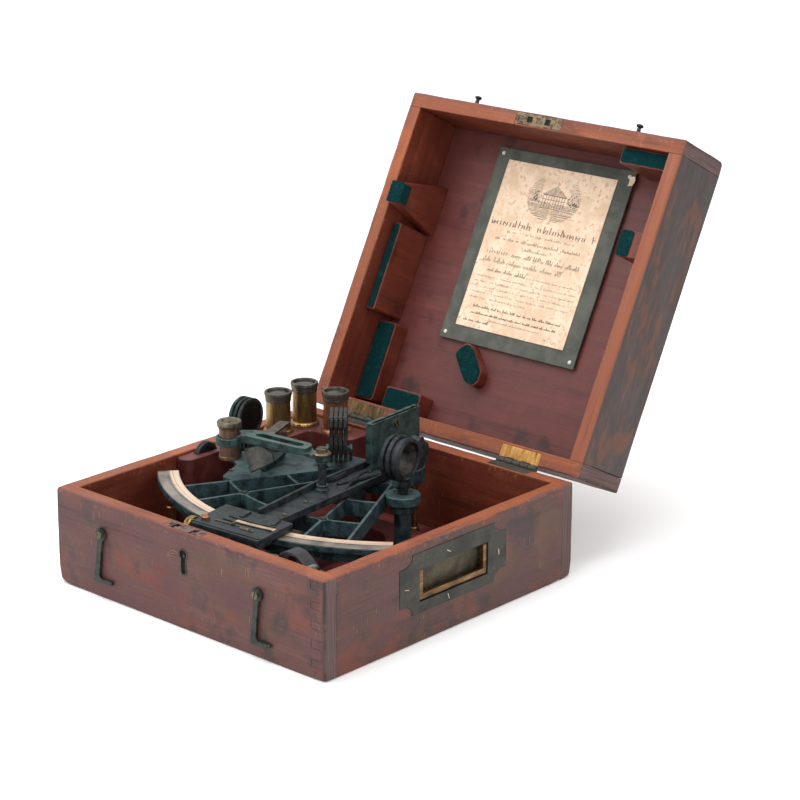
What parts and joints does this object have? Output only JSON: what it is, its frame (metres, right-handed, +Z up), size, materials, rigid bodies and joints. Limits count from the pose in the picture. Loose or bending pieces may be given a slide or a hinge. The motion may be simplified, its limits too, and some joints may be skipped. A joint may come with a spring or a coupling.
{
  "type": "nautical sextant",
  "caption": "Vernier sextant with mirrors, shades, index arm and magnifier, lying in its open hinged wooden case with spare telescopes.",
  "frame": {"origin": "centre of the case's underside", "axes": "+Z up, -Y the front of the case with the lock and hooks, +Y the hinge side, +X the side with the carrying handle"},
  "size_m": [0.2804, 0.4574, 0.3227],
  "materials": {
    "mahogany_outer": "worn old polish",
    "mahogany_inner": "satin",
    "bronze": "oxidised, dark green to black",
    "dark_brass": "tarnished",
    "brass": "dull, lacquer worn off",
    "silver": "satin silver inlay",
    "blackened": "matt black lacquer",
    "shade_glass": "dark neutral glass",
    "mirror": "silvered",
    "ebony": "near black, rubbed",
    "card": "matt",
    "frosted_glass": "frosted"
  },
  "bodies": {
    "case": {"case_front_board": "mahogany_outer", "case_back_board": "mahogany_outer", "case_left_board": "mahogany_outer", "case_right_board": "mahogany_outer", "case_bottom_board": "mahogany_inner", "telescope_block": "mahogany_inner", "left_block": "mahogany_inner", "front_block": "mahogany_inner", "handle_cradle": "mahogany_inner", "lock": "dark_brass", "handle_pan": "dark_brass", "hinge_leaf_lower_left": "brass", "hinge_leaf_lower_right": "brass"},
    "lid": {"lid_front_board": "mahogany_outer", "lid_back_board": "mahogany_outer", "lid_left_board": "mahogany_outer", "lid_right_board": "mahogany_outer", "lid_top_board": "mahogany_inner", "hinge_leaf_upper_left": "brass", "hinge_leaf_upper_right": "brass", "strike_plate": "brass", "hook_stud_left": "dark_brass", "hook_stud_right": "dark_brass", "certificate_mat": "card", "lid_keeper_wedge": "mahogany_inner", "lid_keeper_strip": "mahogany_inner", "lid_keeper_tall": "mahogany_inner", "lid_keeper_post": "mahogany_inner"},
    "carry_bail": {"carry_bail": "brass"},
    "hook_left": {"hook_left": "dark_brass"},
    "hook_right": {"hook_right": "dark_brass"},
    "front_keeper": {"front_keeper": "blackened"},
    "telescope_front": {"telescope_front": "brass"},
    "telescope_corner": {"telescope_corner": "brass"},
    "telescope_back": {"telescope_back": "brass"},
    "eyepiece_cap": {"eyepiece_cap": "blackened"},
    "sextant": {"sextant_frame": "bronze", "scale_arc": "silver", "handle_grip": "ebony", "leg_left": "brass", "leg_right": "brass", "leg_apex": "brass", "horizon_mirror_frame": "bronze", "horizon_mirror_glass": "mirror"},
    "rising_piece": {"rising_piece": "bronze"},
    "horizon_shade_1": {"horizon_shade_1": "shade_glass"},
    "horizon_shade_2": {"horizon_shade_2": "shade_glass"},
    "horizon_shade_3": {"horizon_shade_3": "shade_glass"},
    "index_shade_1": {"index_shade_1": "shade_glass"},
    "index_shade_2": {"index_shade_2": "shade_glass"},
    "index_shade_3": {"index_shade_3": "shade_glass"},
    "index_shade_4": {"index_shade_4": "shade_glass"},
    "index_arm": {"index_arm": "bronze", "index_mirror_frame": "bronze", "index_mirror_glass": "mirror"},
    "clamp_screw": {"clamp_screw": "brass"},
    "tangent_screw": {"tangent_screw": "brass"},
    "magnifier_arm": {"magnifier_arm": "bronze", "diffuser_screen": "frosted_glass"},
    "magnifier_tube": {"magnifier_tube": "brass"}
  },
  "joints": [
    {"name": "lid_hinge", "type": "hinge", "parent": "case", "child": "lid", "pos_m": [0, 0.1387, 0.076], "axis": [-1, 0, 0], "range_deg": [-117.4, 0]},
    {"name": "bail_swing", "type": "hinge", "parent": "case", "child": "carry_bail", "pos_m": [0.1376, -0.001, 0.0534], "axis": [0, -1, 0], "range_deg": [0, 90]},
    {"name": "hook_left_swing", "type": "hinge", "parent": "case", "child": "hook_left", "pos_m": [-0.0885, -0.1376, 0.0515], "axis": [0, -1, 0], "range_deg": [-20, 160]},
    {"name": "hook_right_swing", "type": "hinge", "parent": "case", "child": "hook_right", "pos_m": [0.076, -0.1376, 0.049], "axis": [0, -1, 0], "range_deg": [-20, 160]},
    {"name": "front_keeper_swivel", "type": "hinge", "parent": "case", "child": "front_keeper", "pos_m": [0.108, -0.116, 0.07], "axis": [0, 0, -1], "range_deg": [0, 90]},
    {"name": "telescope_front_lift", "type": "slide", "parent": "case", "child": "telescope_front", "axis": [0, 0, 1], "range_m": [0, 0.09]},
    {"name": "telescope_corner_lift", "type": "slide", "parent": "case", "child": "telescope_corner", "axis": [0, 0, 1], "range_m": [0, 0.09]},
    {"name": "telescope_back_lift", "type": "slide", "parent": "case", "child": "telescope_back", "axis": [0, 0, 1], "range_m": [0, 0.09]},
    {"name": "eyepiece_cap_lift", "type": "slide", "parent": "case", "child": "eyepiece_cap", "axis": [0, 0, 1], "range_m": [0, 0.06]},
    {"name": "sextant_lift", "type": "slide", "parent": "case", "child": "sextant", "axis": [0, 0, 1], "range_m": [0, 0.2]},
    {"name": "rising_piece_slide", "type": "slide", "parent": "sextant", "child": "rising_piece", "axis": [0, 0, 1], "range_m": [-0.003, 0.012]},
    {"name": "horizon_shade_1_fold", "type": "hinge", "parent": "sextant", "child": "horizon_shade_1", "pos_m": [-0.0997, 0.0248, 0.076], "axis": [0.9914, 0.1305, 0], "range_deg": [0, 60]},
    {"name": "horizon_shade_2_fold", "type": "hinge", "parent": "sextant", "child": "horizon_shade_2", "pos_m": [-0.0997, 0.0248, 0.076], "axis": [0.9914, 0.1305, 0], "range_deg": [0, 60]},
    {"name": "horizon_shade_3_fold", "type": "hinge", "parent": "sextant", "child": "horizon_shade_3", "pos_m": [-0.0997, 0.0248, 0.076], "axis": [0.9914, 0.1305, 0], "range_deg": [0, 60]},
    {"name": "index_shade_1_fold", "type": "hinge", "parent": "sextant", "child": "index_shade_1", "pos_m": [-0.0374, 0.07037, 0.079], "axis": [-0.7408, -0.6717, 0], "range_deg": [0, 90]},
    {"name": "index_shade_2_fold", "type": "hinge", "parent": "sextant", "child": "index_shade_2", "pos_m": [-0.0374, 0.07037, 0.079], "axis": [-0.7408, -0.6717, 0], "range_deg": [0, 90]},
    {"name": "index_shade_3_fold", "type": "hinge", "parent": "sextant", "child": "index_shade_3", "pos_m": [-0.0374, 0.07037, 0.079], "axis": [-0.7408, -0.6717, 0], "range_deg": [0, 90]},
    {"name": "index_shade_4_fold", "type": "hinge", "parent": "sextant", "child": "index_shade_4", "pos_m": [-0.0374, 0.07037, 0.079], "axis": [-0.7408, -0.6717, 0], "range_deg": [0, 90]},
    {"name": "index_arm_swing", "type": "hinge", "parent": "sextant", "child": "index_arm", "pos_m": [0.001, 0.09, 0.07], "axis": [0, 0, 1], "range_deg": [-7.5, 18.5]},
    {"name": "clamp_screw_turn", "type": "hinge", "parent": "index_arm", "child": "clamp_screw", "pos_m": [-0.00747, -0.10726, 0.078], "axis": [0, 0, 1], "range_deg": [0, 120]},
    {"name": "tangent_screw_turn", "type": "hinge", "parent": "index_arm", "child": "tangent_screw", "pos_m": [-0.02302, -0.10603, 0.066], "axis": [0.9966, 0.0819, 0], "continuous": true},
    {"name": "magnifier_swing", "type": "hinge", "parent": "index_arm", "child": "magnifier_arm", "pos_m": [0.00798, -0.00103, 0.0995], "axis": [0, 0, -1], "range_deg": [-40, 6]},
    {"name": "magnifier_focus", "type": "slide", "parent": "magnifier_arm", "child": "magnifier_tube", "axis": [0, 0, 1], "range_m": [-0.004, 0.006]}
  ]
}
